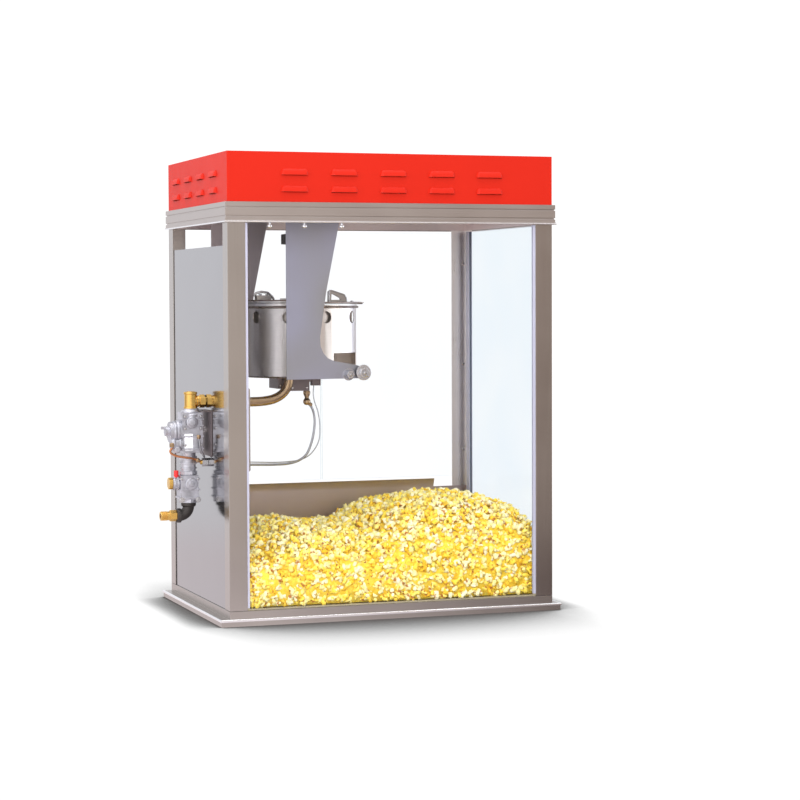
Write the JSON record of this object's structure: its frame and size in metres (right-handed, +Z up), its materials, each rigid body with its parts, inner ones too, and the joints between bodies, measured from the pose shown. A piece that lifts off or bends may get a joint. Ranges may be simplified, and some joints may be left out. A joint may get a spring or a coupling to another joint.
{
  "type": "popcorn maker",
  "caption": "Glazed counter cabinet with a louvred hood, a tilting stirred kettle over a gas burner, rear doors, a kernel drawer and a side gas train; it pops corn and keeps it on show.",
  "frame": {"origin": "centre of the underside of the base", "axes": "+X to the right as seen by a customer in front, +Y from the front pane to the server's doors, +Z up"},
  "size_m": [0.8255, 0.5279, 0.965],
  "materials": {
    "stainless": "satin",
    "polished_steel": "polished",
    "bracket_steel": "satin",
    "dark_steel": "satin",
    "red_enamel": "gloss",
    "clear_glass": "gloss",
    "clear_acrylic": "gloss",
    "channel_metal": "satin",
    "bronzed_steel": "satin",
    "brass": "satin",
    "copper": "satin",
    "cast_aluminium": "matte",
    "motor_casting": "matte",
    "black_iron": "matte",
    "black_plastic": "satin",
    "red_plastic": "gloss",
    "lamp_glass": "matte",
    "popped_corn": "matte"
  },
  "bodies": {
    "cabinet": {"base": "stainless", "popcorn_deck": "stainless", "post_front_left": "stainless", "post_front_right": "stainless", "post_rear_left": "stainless", "post_rear_right": "stainless", "trim_band": "stainless", "ceiling_pan": "stainless", "hood": "red_enamel", "front_glass": "clear_glass", "right_glass": "clear_glass", "front_glass_channel": "channel_metal", "right_glass_channel": "channel_metal", "left_panel": "polished_steel", "rear_apron": "stainless", "popcorn_heap": "popped_corn", "door_hinge_strip_left": "stainless", "door_hinge_strip_right": "stainless", "switch_panel": "stainless", "lamp_holder": "channel_metal", "lamp_tube": "lamp_glass", "kettle_bracket_front": "bracket_steel", "kettle_bracket_rear": "dark_steel", "gear_motor": "motor_casting", "burner_box": "dark_steel", "burner_head": "black_iron", "mixing_tube": "bronzed_steel", "gas_cover_box": "stainless", "pilot_fitting": "bronzed_steel", "pilot_tube": "polished_steel", "igniter_lead": "polished_steel", "brass_elbow": "brass", "gas_valve": "cast_aluminium", "safety_valve": "cast_aluminium", "valve_cap": "brass", "iron_elbow": "black_iron", "flare_fitting": "brass", "copper_tube": "copper", "valve_pilot_tube": "polished_steel", "bulkhead_fitting": "polished_steel", "valve_bracket": "dark_steel"},
    "kettle": {"kettle_shell": "polished_steel", "kettle_pan": "polished_steel", "kettle_crossbar": "stainless", "kettle_lid_fixed": "stainless", "pivot_bolt": "polished_steel", "dump_lever": "stainless", "lever_grip": "black_plastic"},
    "lid_flap": {"kettle_lid_flap": "stainless"},
    "agitator": {"agitator": "stainless"},
    "drive": {"drive_spindle": "dark_steel"},
    "door_left": {"door_clamp_left": "stainless", "door_pane_left": "clear_acrylic"},
    "door_right": {"door_clamp_right": "stainless", "door_pane_right": "clear_acrylic"},
    "drawer": {"crumb_drawer": "stainless"},
    "motor_switch_body": {"motor_switch": "black_plastic"},
    "light_switch_body": {"light_switch": "black_plastic"},
    "gas_knob_body": {"gas_knob": "cast_aluminium"},
    "reset_button_body": {"reset_button": "red_plastic"}
  },
  "joints": [
    {"name": "kettle_dump", "type": "hinge", "parent": "cabinet", "child": "kettle", "pos_m": [-0.031, 0, 0.51], "axis": [0, 1, 0], "range_deg": [0, 105]},
    {"name": "kettle_lid", "type": "hinge", "parent": "kettle", "child": "lid_flap", "pos_m": [-0.11, 0, 0.661], "axis": [0, -1, 0], "range_deg": [0, 75]},
    {"name": "drive_spin", "type": "hinge", "parent": "cabinet", "child": "drive", "pos_m": [-0.125, 0, 0.826], "axis": [0, 0, 1], "continuous": true},
    {"name": "agitator_spin", "type": "hinge", "parent": "kettle", "child": "agitator", "pos_m": [-0.125, 0, 0.66], "axis": [0, 0, 1], "continuous": true},
    {"name": "door_left_swing", "type": "hinge", "parent": "cabinet", "child": "door_left", "pos_m": [-0.34, 0.2585, 0.545], "axis": [0, 0, 1], "range_deg": [0, 110]},
    {"name": "door_right_swing", "type": "hinge", "parent": "cabinet", "child": "door_right", "pos_m": [0.34, 0.2585, 0.545], "axis": [0, 0, -1], "range_deg": [0, 110]},
    {"name": "drawer_slide", "type": "slide", "parent": "cabinet", "child": "drawer", "axis": [0, 1, 0], "range_m": [0, 0.3]},
    {"name": "motor_switch_rock", "type": "hinge", "parent": "cabinet", "child": "motor_switch_body", "pos_m": [0.2, 0.254, 0.914], "axis": [1, 0, 0], "range_deg": [0, 14]},
    {"name": "light_switch_rock", "type": "hinge", "parent": "cabinet", "child": "light_switch_body", "pos_m": [0.236, 0.254, 0.914], "axis": [1, 0, 0], "range_deg": [0, 14]},
    {"name": "gas_knob_turn", "type": "hinge", "parent": "cabinet", "child": "gas_knob_body", "pos_m": [-0.4365, -0.055, 0.39], "axis": [1, 0, 0], "range_deg": [0, 90]},
    {"name": "reset_button_press", "type": "slide", "parent": "cabinet", "child": "reset_button_body", "axis": [0, 0, -1], "range_m": [0, 0.004], "stiffness_N_per_m": 300}
  ],
  "couplings": [
    {"joint": "agitator_spin", "follows": "drive_spin", "ratio": 1}
  ]
}
